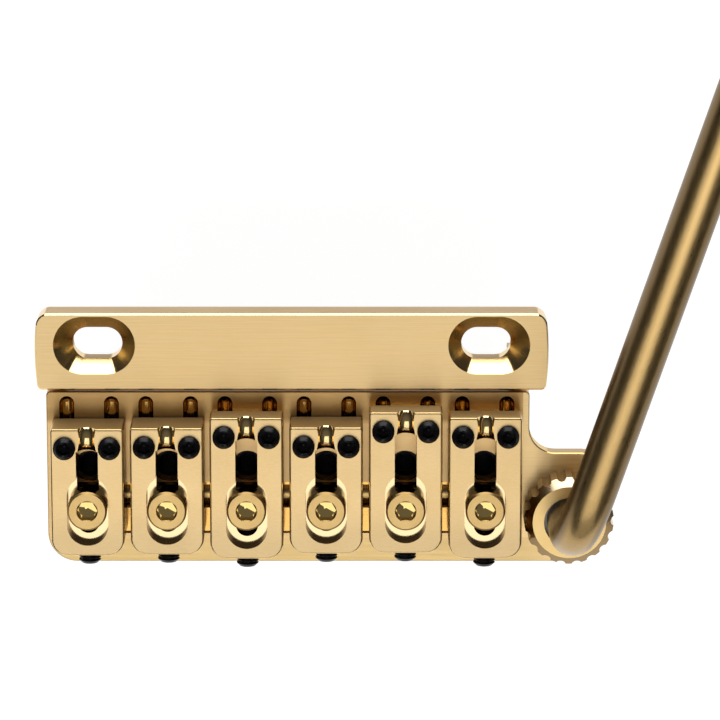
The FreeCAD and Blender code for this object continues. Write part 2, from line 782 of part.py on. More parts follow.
# Clamp bar under the channel, cross drilled for the clamp screws
bar = rod(
    "bar_rod", "x", "clamp_bar_diameter",
    (f"{base_middle} - {bar_half}", "-clamp_back", bar_height),
    f"2 * {bar_half}",
)
bar_holes = [
    rod(f"bar_hole_{i}", "z", "clamp_shank_diameter + 2 * fit",
        (line, "-clamp_back", f"{bar_height} - clamp_bar_diameter"), "2 * clamp_bar_diameter")
    for i, line in enumerate(string_lines)
]
node("clamp_bar", cut("drilled_bar", bar, group("bar_holes", bar_holes)))


# Clamp screws: cap screws that hold each saddle down through its counterbore
head_rise = f"({ledge} + fit)"
for i, line in enumerate(string_lines):
    shank_foot = f"({bar_height} - clamp_bar_diameter / 2 + fit)"
    shank = rod(
        f"clamp_shank_{i}", "z", "clamp_shank_diameter", (line, "-clamp_back", shank_foot),
        f"{head_rise} - {shank_foot}",
    )
    head = rod(
        f"clamp_head_{i}", "z", "clamp_head_diameter", (line, "-clamp_back", head_rise),
        "clamp_head_height - clamp_head_bevel",
    )
    rim = cone(
        f"clamp_rim_{i}", "z", "clamp_head_diameter", "clamp_head_diameter - 2 * clamp_head_bevel",
        (line, "-clamp_back", f"{head_rise} + clamp_head_height - clamp_head_bevel"), "clamp_head_bevel",
    )
    head_top = f"({head_rise} + clamp_head_height)"
    socket_floor = f"({head_top} - clamp_socket_depth)"
    hollow = hexagon(
        f"clamp_hollow_{i}", "z", "clamp_socket", (line, "-clamp_back", socket_floor),
        "clamp_socket_depth + overrun",
    )
    mouth = cone(
        f"clamp_mouth_{i}", "z", "clamp_socket", "clamp_socket + 2 * clamp_socket_bevel",
        (line, "-clamp_back", f"{head_top} - clamp_socket_bevel"), "clamp_socket_bevel",
    )
    point = cone(
        f"clamp_point_{i}", "z", "0", "clamp_socket",
        (line, "-clamp_back", f"{socket_floor} - clamp_socket_point"), "clamp_socket_point",
    )
    socket = join(f"clamp_socket_{i}", [hollow, mouth, point])
    blank = join(f"clamp_blank_{i}", [shank, head, rim])
    node(f"clamp_screw_{i + 1}", cut(f"clamp_cut_{i}", blank, socket))


# Set screws: a rod bevelled at both ends, with a hexagon socket in the driven end
def set_screw(name, axis, foot, length, tip_diameter, socket_at_start):
    x, y, z = foot
    tip_length = f"((set_screw_diameter - {tip_diameter}) / 2)"
    bevel_diameter = "(set_screw_diameter - 2 * set_screw_bevel)"
    driven = (bevel_diameter, "set_screw_diameter", "set_screw_bevel")
    pointed = ("set_screw_diameter", tip_diameter, tip_length)
    start, end = driven, pointed
    if not socket_at_start:
        start, end = pointed[1::-1] + pointed[2:], driven[1::-1] + driven[2:]
    step = {"y": lambda shift: (x, f"{y} + {shift}", z), "z": lambda shift: (x, y, f"{z} + {shift}")}[axis]
    barrel = rod(
        f"{name}_barrel", axis, "set_screw_diameter", step(start[2]), f"{length} - {start[2]} - {end[2]}",
    )
    low = cone(f"{name}_low", axis, start[0], start[1], step("0"), start[2])
    high = cone(f"{name}_high", axis, end[0], end[1], step(f"{length} - {end[2]}"), end[2])
    socket_from = "-overrun" if socket_at_start else f"{length} - set_screw_socket_depth"
    socket = hexagon(
        f"{name}_socket", axis, "set_screw_socket", step(socket_from), "set_screw_socket_depth + overrun",
    )
    return cut(f"{name}_cut", join(f"{name}_blank", [low, barrel, high]), socket)


# Saddles, each with two height screws and one intonation screw
for i, line in enumerate(string_lines):
    number = i + 1
    length = "long_saddle_length" if long_saddles[i] else "short_saddle_length"
    rear_face = f"(-saddle_back + counterbore_length * {saddle_rest_shares[i]})"
    front_face = f"({rear_face} + {length})"
    sides = (f"{line} - {saddle_half}", f"{line} + {saddle_half}")
    body = doc.addObject("PartDesign::Body", f"saddle_body_{i}")
    saddle_outline = polygon(body, f"saddle_outline_{i}", "XY_Plane", [
        (sides[0], rear_face), (sides[1], rear_face), (sides[1], front_face), (sides[0], front_face),
    ])
    saddle = pad(body, f"saddle_pad_{i}", saddle_outline, saddle_bottom, "saddle_thickness")
    saddle_middle = saddle.Shape.CenterOfMass.y
    saddle = round_edges(
        body, f"saddle_rear_{i}", saddle, "saddle_rear_corner",
        lambda edge: is_upright(edge) and edge.CenterOfMass.y < saddle_middle,
    )
    saddle = round_edges(
        body, f"saddle_front_{i}", saddle, "saddle_front_corner",
        lambda edge: is_upright(edge) and edge.CenterOfMass.y > saddle_middle,
    )
    saddle = round_edges(body, f"saddle_round_{i}", saddle, "saddle_edge_round", is_top_edge(saddle))
    body.Tip = saddle

    # The heel under the tail rests on the base plate
    inset = "saddle_rear_corner"
    heel = box(
        f"heel_{i}", (f"{sides[0]} + {inset}", f"{sides[1]} - {inset}"),
        (rear_face, f"{rear_face} + heel_length"),
        ("base_top + fit", saddle_bottom),
    )
    heeled = join(f"heeled_saddle_{i}", [body, heel])

    # The string leaves over a rounded crest, in a groove that follows the crest's arc
    crest_y = f"({front_face} - crest_back)"
    crest_z = f"({saddle_top} - crest_depth - crest_radius)"
    arc_radius = f"(crest_radius + {groove_half})"
    arc_reach = f"(crest_radius + 2 * {groove_half})"
    groove_x = (f"{line} - {groove_half}", f"{line} + {groove_half}")
    above_crest = box(
        f"above_crest_{i}", groove_x, (f"{crest_y} - {arc_reach}", f"{crest_y} + {arc_reach}"),
        (crest_z, f"{saddle_top} + overrun"),
    )
    crest_ring = ring_torus(
        f"crest_ring_{i}", "x", arc_radius, groove_half, (line, crest_y, crest_z),
    )
    crest_core = rod(
        f"crest_core_{i}", "x", f"2 * {arc_radius}", (groove_x[0], crest_y, crest_z),
        f"2 * {groove_half}",
    )
    round_floor = overlap(f"crest_floor_{i}", crest_ring, above_crest)
    open_top = cut(f"crest_top_{i}", above_crest, crest_core)
    crest_groove = join(f"string_groove_{i}", [round_floor, open_top])

    slot_rear = f"({rear_face} + counterbore_rear + counterbore_width / 2)"
    slot_box = box(
        f"slot_box_{i}", (f"{line} - string_slot_width / 2", f"{line} + string_slot_width / 2"),
        (slot_rear, f"{front_face} - string_slot_front"), ("base_top", f"{saddle_top} + overrun"),
    )
    slot_end = rod(
        f"slot_end_{i}", "z", "string_slot_width", (line, slot_rear, "base_top"),
        "saddle_lift + saddle_thickness + overrun",
    )
    string_slot = join(f"string_slot_{i}", [slot_box, slot_end])
    counterbore_rear = f"({rear_face} + counterbore_rear)"
    counterbore = slot_along_y(
        f"counterbore_{i}", line, (counterbore_rear, f"{counterbore_rear} + counterbore_length"),
        (ledge, f"{saddle_top} + overrun"), "counterbore_width",
    )
    screw_y = f"({front_face} - height_screw_back)"
    screw_xs = [f"({line} - {height_screw_across})", f"({line} + {height_screw_across})"]
    screw_hole = "set_screw_diameter + 2 * fit"
    height_holes = [
        rod(f"height_hole_{i}_{j}", "z", screw_hole, (x, screw_y, "base_top"),
            "saddle_lift + saddle_thickness + overrun")
        for j, x in enumerate(screw_xs)
    ]
    screw_z = f"({saddle_bottom} + intonation_rise)"
    intonation_hole = rod(
        f"intonation_hole_{i}", "y", screw_hole, (line, f"{rear_face} - overrun", screw_z),
        "overrun + counterbore_rear + counterbore_width / 2",
    )
    saddle_tools = [crest_groove, string_slot, counterbore, intonation_hole] + height_holes
    if long_saddles[i]:
        relief = "(saddle_thickness - long_saddle_face)"
        nose_body = doc.addObject("PartDesign::Body", f"nose_body_{i}")
        nose_outline = polygon(nose_body, f"nose_outline_{i}", "YZ_Plane", [
            (f"{front_face} + overrun", f"{saddle_bottom} + {relief} + overrun"),
            (f"{front_face} - {relief} - overrun", f"{saddle_bottom} - overrun"),
            (f"{front_face} + overrun", f"{saddle_bottom} - overrun"),
        ])
        pad(
            nose_body, f"nose_pad_{i}", nose_outline, f"{sides[0]} - overrun",
            f"2 * ({saddle_half} + overrun)",
        )
        saddle_tools.append(nose_body)
    node(f"saddle_{number}", cut(f"saddle_cut_{i}", heeled, join(f"saddle_tools_{i}", saddle_tools)))

    # The height screws' points sit on the edges of the base plate's grooves
    screw_foot = "(base_top - (groove_width - height_screw_tip) / 2 + 2 * fit)"
    for side, x in zip(("bass", "treble"), screw_xs):
        node(f"height_screw_{number}_{side}", set_screw(
            f"height_{i}_{side}", "z", (x, screw_y, screw_foot), "height_screw_length",
            "height_screw_tip", False,
        ))
    node(f"intonation_screw_{number}", set_screw(
        f"intonation_{i}", "y", (line, f"{rear_face} - intonation_stickout", screw_z),
        "intonation_screw_length",
        "intonation_screw_tip", True,
    ))


# Sleeve in the ear, its ring nut, and the plastic bush in which the arm turns
sleeve_tube = rod(
    "sleeve_tube", "z", sleeve_outside, (*arm_line, "-sleeve_foot"),
    "sleeve_foot + base_top + sleeve_rise",
)
sleeve_flange = rod(
    "sleeve_flange", "z", f"{sleeve_outside} + 2 * sleeve_flange_width",
    (*arm_line, f"{base_bottom} - fit - sleeve_flange_thickness"),
    "sleeve_flange_thickness",
)
sleeve_bore = rod(
    "sleeve_bore", "z", f"{bush_outside} + 2 * fit", (*arm_line, "-sleeve_foot - overrun"),
    "sleeve_foot + base_top + sleeve_rise + 2 * overrun",
)
node("arm_sleeve", cut("sleeve_cut", join("sleeve_blank", [sleeve_tube, sleeve_flange]), sleeve_bore))
node("sleeve_ring_nut", tube(
    "ring_nut", "z", ring_nut_outside, f"{sleeve_outside} + 2 * fit", (*arm_line, "base_top + fit"),
    "ring_nut_height",
))
node("arm_bush", tube(
    "bush", "z", bush_outside, "arm_diameter + 2 * running_fit", (*arm_line, "-bush_foot"),
    "bush_foot + base_top + bush_rise",
))


# Fluted collar that screws onto the sleeve and pinches the bush
collar_foot = "(base_top + collar_gap)"
collar_body = doc.addObject("PartDesign::Body", "collar_body")


def circle_sketch(body, name, x, y, radius, start):
    sketch = sketch_on(body, name, "XY_Plane")
    sketch.addGeometry(Part.Circle(Vector(0, 0), Vector(0, 0, 1), 1))
    pin(sketch, 0, 3, x, y)
    limit(sketch, "Radius", 0, 1, radius)
    bind(sketch, "AttachmentOffset.Base.z", start)
    return sketch


flange = pad(
    collar_body, "collar_flange",
    circle_sketch(collar_body, "flange_circle", "0", "0", f"{collar_outside} / 2", "0"),
    "0", "collar_height",
)
flange = bevel_edges(collar_body, "collar_flange_bevel", flange, "collar_bevel", is_top_edge(flange))
flute_sketch = circle_sketch(
    collar_body, "flute_circle", f"{collar_outside} / 2 + flute_diameter / 2 - flute_depth", "0",
    "flute_diameter / 2", "collar_height",
)
flute = collar_body.newObject("PartDesign::Pocket", "flute")
flute.Profile = flute_sketch
bind(flute, "Length", "collar_height")
doc.recompute()
flutes = collar_body.newObject("PartDesign::PolarPattern", "flutes")
flutes.Originals = [flute]
flutes.Axis = (flute_sketch, ["N_Axis"])
flutes.Angle = 360
flutes.Occurrences = flute_count
collar_body.Tip = flutes
place(collar_body, (*arm_line, collar_foot))
doc.recompute()
nut_recess = rod(
    "collar_recess", "z", f"{ring_nut_outside} + 4 * running_fit", (*arm_line, f"{collar_foot} - overrun"),
    "overrun + ring_nut_height + 2 * running_fit",
)
sleeve_hole = rod(
    "collar_thread", "z", f"{sleeve_outside} + 2 * running_fit", (*arm_line, f"{collar_foot} - overrun"),
    "overrun + bush_rise + running_fit",
)
arm_hole = rod(
    "collar_hole", "z", "arm_diameter + collar_arm_room", (*arm_line, collar_foot),
    "collar_height + overrun",
)
node("arm_collar", cut("collar_cut", collar_body, join("collar_tools", [nut_recess, sleeve_hole, arm_hole])))


# Arm: one bent rod with a domed tip
arm_body = doc.addObject("PartDesign::Body", "arm_body")
path = sketch_on(arm_body, "arm_path", "XZ_Plane")
rise = math.radians(angles["arm_rise"])
bend_radius = sizes["arm_bend_radius"]
setback = bend_radius * math.tan(math.pi / 4 - rise / 2)
knee = Vector(0, sizes["arm_corner_height"] - setback)
centre = knee + Vector(bend_radius, 0)
shoulder = centre + Vector(-math.sin(rise), math.cos(rise)) * bend_radius
tip = shoulder + Vector(math.cos(rise), math.sin(rise)) * (sizes["arm_length"] - setback)
path.addGeometry(Part.LineSegment(Vector(0, -sizes["arm_foot"]), knee))
bend_circle = Part.Circle(centre, Vector(0, 0, 1), bend_radius)
path.addGeometry(Part.ArcOfCircle(bend_circle, math.pi / 2 + rise, math.pi))
path.addGeometry(Part.LineSegment(shoulder, tip))
path.addConstraint(Sketcher.Constraint("Tangent", 0, 2, 1, 2))
path.addConstraint(Sketcher.Constraint("Tangent", 1, 1, 2, 1))
setback_text = "arm_bend_radius * tan((90 - arm_rise) / 2)"
pin(path, 0, 1, "0", "-arm_foot")
pin(path, 0, 2, "0", f"arm_corner_height - {setback_text}")
limit(path, "Radius", 1, bend_radius, "arm_bend_radius")
limit(path, "Distance", 2, sizes["arm_length"] - setback, f"arm_length - {setback_text}")
limit(path, "Angle", 2, rise, "arm_rise * 1 deg")
section = circle_sketch(arm_body, "arm_section", "0", "0", "arm_diameter / 2", "-arm_foot")
doc.recompute()
pipe = arm_body.newObject("PartDesign::AdditivePipe", "arm_pipe")
pipe.Profile = section
pipe.Spine = (path, ["Edge1", "Edge2", "Edge3"])
doc.recompute()
reach = pipe.Shape.BoundBox.XMax
arm_tip = round_edges(
    arm_body, "arm_tip", pipe, "arm_diameter / 2 - arm_tip_flat",
    lambda edge: edge.Curve.TypeId == "Part::GeomCircle"
    and edge.CenterOfMass.x > reach - sizes["arm_diameter"],
)
arm_body.Tip = arm_tip
arm_body.Placement = Placement(Vector(), Rotation(Vector(0, 0, 1), 90 - angles["arm_turn"]))
place(arm_body, (*arm_line, "0"))
node("arm", arm_body)


# Every object has to be sound before anything is written
doc.recompute()
for feature in doc.Objects:
    if "Invalid" in feature.State or "Error" in feature.State:
        raise RuntimeError(f"{feature.Label} failed: {feature.State}")
os.makedirs("parts", exist_ok=True)
for feature in nodes:
    if feature.Shape.isNull() or not feature.Shape.isValid():
        raise RuntimeError(f"{feature.Label} has no sound shape")
for feature in nodes:
    feature.Shape.exportStep(f"parts/{feature.Label}.step")
    print(f"{feature.Label}: {len(feature.Shape.Solids)} solids, {feature.Shape.Volume:.2f} mm3")
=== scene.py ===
import math

import bmesh
import bpy
from mathutils import Matrix, Vector


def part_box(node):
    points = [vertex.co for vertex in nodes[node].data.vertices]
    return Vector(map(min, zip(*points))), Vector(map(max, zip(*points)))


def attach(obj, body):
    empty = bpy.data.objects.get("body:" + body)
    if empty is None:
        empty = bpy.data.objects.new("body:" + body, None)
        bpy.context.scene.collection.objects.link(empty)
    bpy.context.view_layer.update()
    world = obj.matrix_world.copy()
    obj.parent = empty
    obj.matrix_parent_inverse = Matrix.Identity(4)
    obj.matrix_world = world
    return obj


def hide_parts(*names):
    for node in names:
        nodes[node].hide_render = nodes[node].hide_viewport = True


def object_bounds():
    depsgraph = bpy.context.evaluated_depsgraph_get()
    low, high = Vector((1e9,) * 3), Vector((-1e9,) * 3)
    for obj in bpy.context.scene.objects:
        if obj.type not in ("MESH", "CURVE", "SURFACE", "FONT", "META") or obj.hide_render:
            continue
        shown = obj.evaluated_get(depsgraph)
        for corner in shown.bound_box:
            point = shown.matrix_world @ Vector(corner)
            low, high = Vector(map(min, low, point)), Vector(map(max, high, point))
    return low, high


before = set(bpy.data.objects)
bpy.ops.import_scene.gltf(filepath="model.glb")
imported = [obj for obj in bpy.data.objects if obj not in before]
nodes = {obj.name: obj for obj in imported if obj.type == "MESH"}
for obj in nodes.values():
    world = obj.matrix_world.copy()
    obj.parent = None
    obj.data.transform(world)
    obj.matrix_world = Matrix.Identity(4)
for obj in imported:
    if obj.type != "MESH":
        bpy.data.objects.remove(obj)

cad_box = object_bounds()


# Front plate. A milled bar of brass with two slots, countersunk for the screws that hold it to the guitar.
# It is plated in satin gold and brushed lengthwise. The cutter left its bevels and countersinks bright.
class Tone:
    """A socket in a node tree. Sums on tones add Math nodes."""

    def __init__(self, tree, socket=None):
        self.tree = tree
        self.socket = socket

    def node(self, kind, settings=None, inputs=None, output=0):
        made = self.tree.nodes.new(kind)
        for name, setting in (settings or {}).items():
            setattr(made, name, setting)
        for key, value in (inputs or {}).items():
            if isinstance(value, Tone):
                self.tree.links.new(value.socket, made.inputs[key])
            else:
                made.inputs[key].default_value = value
        return Tone(self.tree, made.outputs[output] if made.outputs else None)

    def sum(self, operation, *values):
        return self.node("ShaderNodeMath", {"operation": operation}, dict(enumerate(values)))

    def __add__(self, other):
        return self.sum("ADD", self, other)

    def __sub__(self, other):
        return self.sum("SUBTRACT", self, other)

    def __rsub__(self, other):
        return self.sum("SUBTRACT", other, self)

    def __mul__(self, other):
        return self.sum("MULTIPLY", self, other)

    def __truediv__(self, other):
        return self.sum("DIVIDE", self, other)

    def __abs__(self):
        return self.sum("ABSOLUTE", self)

    __radd__ = __add__
    __rmul__ = __mul__

    def between(self, low, high, step="SMOOTHSTEP"):
        """0 below low, 1 above high, and a step from one to the other."""
        span = {"Value": self, "From Min": low, "From Max": high}
        return self.node("ShaderNodeMapRange", {"interpolation_type": step}, span)

    def either(self, other):
        return self.sum("MAXIMUM", self, other)

    def part(self, axis):
        return self.node("ShaderNodeSeparateXYZ", None, {0: self}, output=axis)

    def noise(self, place, detail=2.0, roughness=0.5):
        return self.node(
            "ShaderNodeTexNoise", {"normalize": True},
            {"Vector": place, "Scale": 1.0, "Detail": detail, "Roughness": roughness},
        )

    def cloud(self, cells, detail=3.0):
        """A noise with this many cells to the metre, alike every way."""
        return self.noise(self.stretched((cells, cells, cells)), detail)

    def stretched(self, scales, turn=(0.0, 0.0, 0.0)):
        """Object coordinates, turned and then stretched, so that a noise on them runs in lines."""
        turned = self.node("ShaderNodeMapping", None, {"Vector": self, "Rotation": turn})
        return self.node("ShaderNodeVectorMath", {"operation": "MULTIPLY"}, {0: turned, 1: scales})

    def blend(self, first, second):
        """A colour between two, by this tone."""
        colours = {"Factor": self, "A": first, "B": second}
        return self.node("ShaderNodeMix", {"data_type": "RGBA"}, colours, output="Result")


def start_finish(name):
    material = bpy.data.materials.new(name)
    material.use_nodes = True
    material.node_tree.nodes.clear()
    tone = Tone(material.node_tree)
    place = tone.node("ShaderNodeTexCoord", output="Object")
    facing = tone.node("ShaderNodeTexCoord", output="Normal")
    return material, place, facing


scratch_depth = 0.000004


def end_finish(material, colour, roughness, height, fixed=None, depth=scratch_depth):
    """Metal with these tones, unless the fixed sockets say otherwise."""
    tone = Tone(material.node_tree)
    relief = tone.node("ShaderNodeBump", None, {"Height": height, "Distance": depth})
    inputs = {"Base Color": colour, "Roughness": roughness, "Metallic": 1.0, "Normal": relief}
    inputs.update(fixed or {})
    surface = tone.node("ShaderNodeBsdfPrincipled", None, inputs)
    tone.node("ShaderNodeOutputMaterial", None, {"Surface": surface})
    return material


def give(material, *names):
    for name in names:
        nodes[name].data.materials.clear()
        nodes[name].data.materials.append(material)


def rgb(red, green, blue):
    return (red, green, blue, 1.0)


brush_lines = (120.0, 4200.0, 4200.0)
brush_spread = {"Anisotropic": 0.8, "Anisotropic Rotation": 0.25}
flat_facing = (0.93, 0.98)
wear_range = (0.3, 0.7)


def brushed_gold(name, roughness, bevel_roughness):
    """Gold plate whose flat faces carry brush lines, and whose bevels are smoother."""
    material, place, facing = start_finish(name)
    streak = place.noise(place.stretched(brush_lines), 3.0, 0.6)
    stain = place.cloud(70.0)
    square = abs(facing.part(0)).either(abs(facing.part(1))).either(abs(facing.part(2)))
    brushed = square.between(*flat_facing)
    worn = (streak * 0.75 + stain * 0.25).between(*wear_range)
    # Painted shade: upright walls take a darker gold than the flat faces.
    upright = abs(facing.part(2)).between(0.5, 0.2)
    flat_gold = worn.blend(rgb(0.78, 0.55, 0.25), rgb(0.87, 0.64, 0.33))
    shaded_edge_gold = worn.blend(rgb(0.48, 0.34, 0.18), rgb(0.58, 0.43, 0.25))
    colour = brushed.blend(rgb(0.86, 0.62, 0.28), upright.blend(flat_gold, shaded_edge_gold))
    rough = bevel_roughness + brushed * (roughness - bevel_roughness + (streak - 0.5) * 0.16)
    return material, place, facing, colour, rough, streak * brushed


def brushed_copy(name, body, material, brush_way):
    """A welded copy of a solid. Its texture space lies far to one side, so that its highlights spread across
    brush lines that all run one way."""
    weld_distance = 1e-7
    aside = 10.0
    cad_mesh = nodes[name].data
    mesh = cad_mesh.copy()
    weld = bmesh.new()
    weld.from_mesh(mesh)
    kept = weld.loops.layers.float_vector.new("cad_normal")
    normals = iter(cad_mesh.corner_normals)
    for face in weld.faces:
        for corner in face.loops:
            corner[kept] = next(normals).vector
    bmesh.ops.remove_doubles(weld, verts=weld.verts, dist=weld_distance)
    weld.to_mesh(mesh)
    weld.free()
    mesh.normals_split_custom_set([corner.vector for corner in mesh.attributes["cad_normal"].data])
    mesh.attributes.remove(mesh.attributes["cad_normal"])
    mesh.materials.clear()
    mesh.materials.append(material)
    mesh.use_auto_texspace = False
    mesh.texspace_size = (1.0, 1.0, 1.0)
    mesh.texspace_location = (-aside * brush_way[1], aside * brush_way[0], 0.0)
    piece = bpy.data.objects.new(f"{name}_brushed", mesh)
    bpy.context.scene.collection.objects.link(piece)
    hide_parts(name)
    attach(piece, body)


lengthwise = (1.0, 0.0)
gold, _, _, colour, rough, relief = brushed_gold("brushed_gold_plate", 0.44, 0.15)
end_finish(gold, colour, rough, relief, brush_spread)
brushed_copy("mounting_plate", "frame", gold, lengthwise)


# Axle and bearings. A ground steel pin through the plate's cheeks, with a snap ring at each end, and two ball
# races on it, kept off the cheeks by spacers. All of it is hidden below the plate.
def turned_steel(name, colour, roughness):
    """Turned metal, a shade darker between its rings than on them."""
    material, place, _ = start_finish(name)
    turning_lines = (9000.0, 300.0, 300.0)
    shade_share = 0.8
    ring = place.noise(place.stretched(turning_lines), 2.0)
    haze = place.cloud(150.0, 4.0)
    shade = tuple(channel * shade_share for channel in colour[:3])
    tint = (ring * 0.5 + haze * 0.5).blend(rgb(*shade), colour)
    return end_finish(material, tint, roughness + (ring - 0.5) * 0.15 + haze * 0.08, ring)


give(turned_steel("turned_steel", rgb(0.62, 0.62, 0.63), 0.22),
     "pivot_axle", "axle_spacers", "bearing_inner_rings", "bearing_outer_rings", "bearing_balls")
give(turned_steel("spring_steel", rgb(0.30, 0.31, 0.34), 0.32), "axle_clips")


# Base plate. A flat plate of the same brass that rocks behind the front plate, with an ear for the arm.
# It is milled with grooves for the screw points, string holes and a channel for the clamp bar, then brushed.
# Painted shade darkens its colour in the cuts, under and between the saddles, in front of them and behind
# them; in front of the long saddles it is lighter near the front plate.
gold, place, facing, colour, rough, relief = brushed_gold("brushed_gold_base", 0.40, 0.34)
saddle_shade_share = 0.75
side_edge = 0.0002
soft_edge = 0.0004
tail_cover = 0.0010
ear_fade = 0.0060
cut_edge = 0.00004
base_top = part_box("base_plate")[1].z
right_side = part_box("saddle_6")[1].x + side_edge
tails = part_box("saddle_1")[0].y + tail_cover
short_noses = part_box("saddle_1")[1].y
long_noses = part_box("saddle_3")[1].y
# Painted shade over the ground the saddles stand on, from their tails to the front plate.
saddle_shade = place.part(0).between(right_side + side_edge, right_side)
saddle_shade = saddle_shade * place.part(1).between(tails - soft_edge, tails)
before_noses = place.part(1).between(short_noses - tail_cover, short_noses)
by_plate = place.part(1).between(long_noses - soft_edge * 2, long_noses + soft_edge)
# Painted shade behind the saddles' tails, fading out before the ear.
behind = place.part(1).between(tails, tails - soft_edge)
behind = behind * place.part(0).between(right_side + ear_fade, right_side - tail_cover)
# Painted shade on the floors of the cuts below the top.
sunk = place.part(2).between(base_top - cut_edge, base_top - cut_edge * 3)
sunk = sunk * facing.part(2).between(0.1, 0.3)
# Colours of the painted shade: behind, between, in the cuts and in front of the saddles.
rear_shade_gold = rgb(0.70, 0.50, 0.22)
gap_shade_gold = rgb(0.74, 0.49, 0.22)
cut_shade_gold = rgb(0.44, 0.25, 0.07)
strip_shade_gold = by_plate.blend(rgb(0.30, 0.16, 0.045), rgb(0.44, 0.25, 0.08))
colour = behind.blend(colour, rear_shade_gold)
colour = (saddle_shade * saddle_shade_share).blend(colour, before_noses.blend(gap_shade_gold, strip_shade_gold))
colour = sunk.blend(colour, cut_shade_gold)
end_finish(gold, colour, rough - sunk * 0.26, relief, brush_spread)
brushed_copy("base_plate", "rocker", gold, lengthwise)


# Sustain block. A heavy block of steel screwed up under the base plate, surface ground and blackened, with
# string bores. Three cap screws hold it, and the gold clamp bar lies in a groove along its head.
def ground_steel(name):
    """Steel that is blackened all over, with painted shade that makes it blackest in the string bores."""
    material, place, _ = start_finish(name)
    grinding_lines = (220.0, 6000.0, 6000.0)
    bore_reach = 0.0028
    bore_edge = 0.0004
    foot_edge = 0.0002
    low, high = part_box("sustain_block")
    middle = (low + high) / 2
    half = (high.x - low.x) / 2
    bore_row = sum(corner.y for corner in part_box("block_screws")) / 2
    lines = place.noise(place.stretched(grinding_lines), 3.0, 0.6)
    haze = place.cloud(90.0, 4.0)
    # Painted shade: where the string bores run, the colour is near black.
    bored = abs(place.part(1) - bore_row).between(bore_reach, bore_reach - bore_edge)
    bored = bored * abs(place.part(0) - middle.x).between(half, half * 0.98)
    bored = bored * place.part(2).between(low.z + foot_edge, low.z + foot_edge * 3)
    tint = (lines * 0.5 + haze * 0.5).between(*wear_range)
    tint = tint.blend(rgb(0.040, 0.040, 0.044), rgb(0.058, 0.058, 0.064))
    tint = bored.blend(tint, rgb(0.006, 0.006, 0.0075))
    rough = 0.34 + (lines - 0.5) * 0.12 + haze * 0.1 - bored * 0.22
    return end_finish(material, tint, rough, lines, {"Specular Tint": rgb(0.3, 0.3, 0.32)})


give(ground_steel("blackened_steel"), "sustain_block")
give(turned_steel("plated_steel", rgb(0.66, 0.65, 0.62), 0.25), "block_screws")
give(turned_steel("plated_bar", rgb(0.72, 0.48, 0.19), 0.24), "clamp_bar")


# Saddles. Six blocks of brass, each with a crest for its string, a counterbored slot for its clamp screw, and
# holes for its set screws. Their tops are finely linished, with painted shade at the tail. The milled cuts
# are smoother. Painted shade darkens their walls, most in the counterbore and least on the front, and dims
# the ledge, which still mirrors the lamps brightly.
def linished_gold(name):
    material, place, facing = start_finish(name)
    linished_lines = (1800.0, 5200.0, 5200.0)
    top_edge = 0.0002
    tail_fade = (0.0080, 0.0010)
    slot_reach = 0.003
    slot_edge = 0.001
    ledge_drop = (0.0012, 0.0016)
    low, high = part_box("saddle_1")
    slot_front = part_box("clamp_screw_1")[1].y + slot_reach
    grain = place.noise(place.stretched(linished_lines), 3.0, 0.65)
    cloud = place.cloud(180.0)
    worn = (grain * 0.6 + cloud * 0.4).between(*wear_range)
    level = facing.part(2).between(*flat_facing)
    top = level * place.part(2).between(high.z - top_edge * 2, high.z - top_edge)
    # Painted shade deepens the tops towards the tail.
    tail = place.part(1).between(low.y + tail_fade[0], low.y + tail_fade[1])
    inside = place.part(1).between(slot_front, slot_front - slot_edge)
    ledge = inside * level * place.part(2).between(high.z - ledge_drop[0], high.z - ledge_drop[1])
    # Painted shade darkens the milled walls, most inside the counterbore; the front faces get a lighter tone,
    # and the ledge a dimmer gold.
    wall = abs(facing.part(2)).between(0.6, 0.2)
    front = facing.part(1).between(0.8, 0.95) * (1.0 - inside)
    shaded_wall_gold = inside.blend(rgb(0.64, 0.44, 0.20), rgb(0.36, 0.22, 0.08))
    top_gold = worn.blend(rgb(0.75, 0.53, 0.25), rgb(0.83, 0.61, 0.31))
    tail_shade_gold = worn.blend(rgb(0.63, 0.45, 0.22), rgb(0.71, 0.53, 0.28))
    milled = wall.blend(rgb(0.86, 0.62, 0.28), shaded_wall_gold)
    milled = front.blend(milled, rgb(0.74, 0.53, 0.25))
    milled = ledge.blend(milled, rgb(0.44, 0.34, 0.19))
    colour = top.blend(milled, tail.blend(top_gold, tail_shade_gold))
    rough = 0.11 + top * (0.34 + (grain - 0.5) * 0.14) + wall * 0.16 + front * 0.28
    return end_finish(material, colour, rough, grain * top)


strings = range(1, 7)
give(linished_gold("linished_gold"), *[f"saddle_{i}" for i in strings])


# Clamp screws. Socket head cap screws, turned and gold plated, that hold the saddles down on the clamp bar.
# Fine rings from the lathe show on each head, its bevels are duller, and the hexagon socket is bright.
def lathe_rings(place, across, along):
    """A noise in fine rings round an upright axis."""
    ring_lines = 9000.0
    squared = across * across + along * along
    radius = squared.sum("SQRT", squared)
    rings = place.node("ShaderNodeCombineXYZ", None, {0: radius * ring_lines, 1: place.part(2) * ring_lines})
    return place.noise(rings, 2.0)


